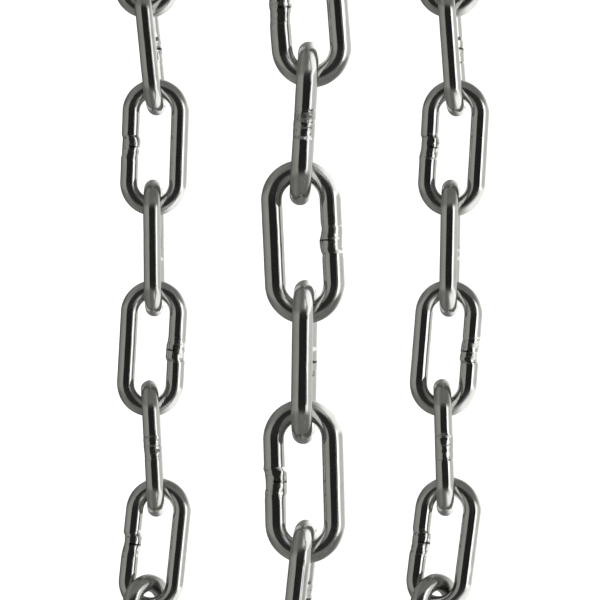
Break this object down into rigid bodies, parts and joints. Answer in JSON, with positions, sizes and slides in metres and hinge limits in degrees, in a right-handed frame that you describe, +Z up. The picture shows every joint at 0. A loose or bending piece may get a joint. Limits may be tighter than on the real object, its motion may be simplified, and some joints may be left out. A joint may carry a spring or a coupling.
{
  "type": "steel chain lengths",
  "caption": "Lengths of welded steel link chain lying straight and side by side: a thick one between two thinner ones.",
  "frame": {"origin": "on the floor, under the middle of the box round the three lengths", "axes": "+Y along the chains, +Z up, +X across them towards the right-hand length"},
  "size_m": [0.2936, 1.0722, 0.0379],
  "materials": {
    "centre_chain_steel": "bright drawn steel wire with bare butt welds",
    "left_chain_steel": "bright drawn steel wire with bare butt welds",
    "right_chain_steel": "bright drawn steel wire with bare butt welds"
  },
  "bodies": {
    "root": {"centre_chain_link_01": "centre_chain_steel", "centre_chain_link_02": "centre_chain_steel", "centre_chain_link_03": "centre_chain_steel", "centre_chain_link_04": "centre_chain_steel", "centre_chain_link_05": "centre_chain_steel", "centre_chain_link_06": "centre_chain_steel", "centre_chain_link_07": "centre_chain_steel", "centre_chain_link_08": "centre_chain_steel", "centre_chain_link_09": "centre_chain_steel", "centre_chain_link_10": "centre_chain_steel", "centre_chain_link_11": "centre_chain_steel", "centre_chain_link_12": "centre_chain_steel", "centre_chain_link_13": "centre_chain_steel", "centre_chain_link_14": "centre_chain_steel", "centre_chain_link_15": "centre_chain_steel", "left_chain_link_01": "left_chain_steel", "left_chain_link_02": "left_chain_steel", "left_chain_link_03": "left_chain_steel", "left_chain_link_04": "left_chain_steel", "left_chain_link_05": "left_chain_steel", "left_chain_link_06": "left_chain_steel", "left_chain_link_07": "left_chain_steel", "left_chain_link_08": "left_chain_steel", "left_chain_link_09": "left_chain_steel", "left_chain_link_10": "left_chain_steel", "left_chain_link_11": "left_chain_steel", "left_chain_link_12": "left_chain_steel", "left_chain_link_13": "left_chain_steel", "left_chain_link_14": "left_chain_steel", "left_chain_link_15": "left_chain_steel", "left_chain_link_16": "left_chain_steel", "left_chain_link_17": "left_chain_steel", "left_chain_link_18": "left_chain_steel", "right_chain_link_01": "right_chain_steel", "right_chain_link_02": "right_chain_steel", "right_chain_link_03": "right_chain_steel", "right_chain_link_04": "right_chain_steel", "right_chain_link_05": "right_chain_steel", "right_chain_link_06": "right_chain_steel", "right_chain_link_07": "right_chain_steel", "right_chain_link_08": "right_chain_steel", "right_chain_link_09": "right_chain_steel", "right_chain_link_10": "right_chain_steel", "right_chain_link_11": "right_chain_steel", "right_chain_link_12": "right_chain_steel", "right_chain_link_13": "right_chain_steel", "right_chain_link_14": "right_chain_steel", "right_chain_link_15": "right_chain_steel", "right_chain_link_16": "right_chain_steel", "right_chain_link_17": "right_chain_steel", "right_chain_link_18": "right_chain_steel"}
  },
  "joints": []
}
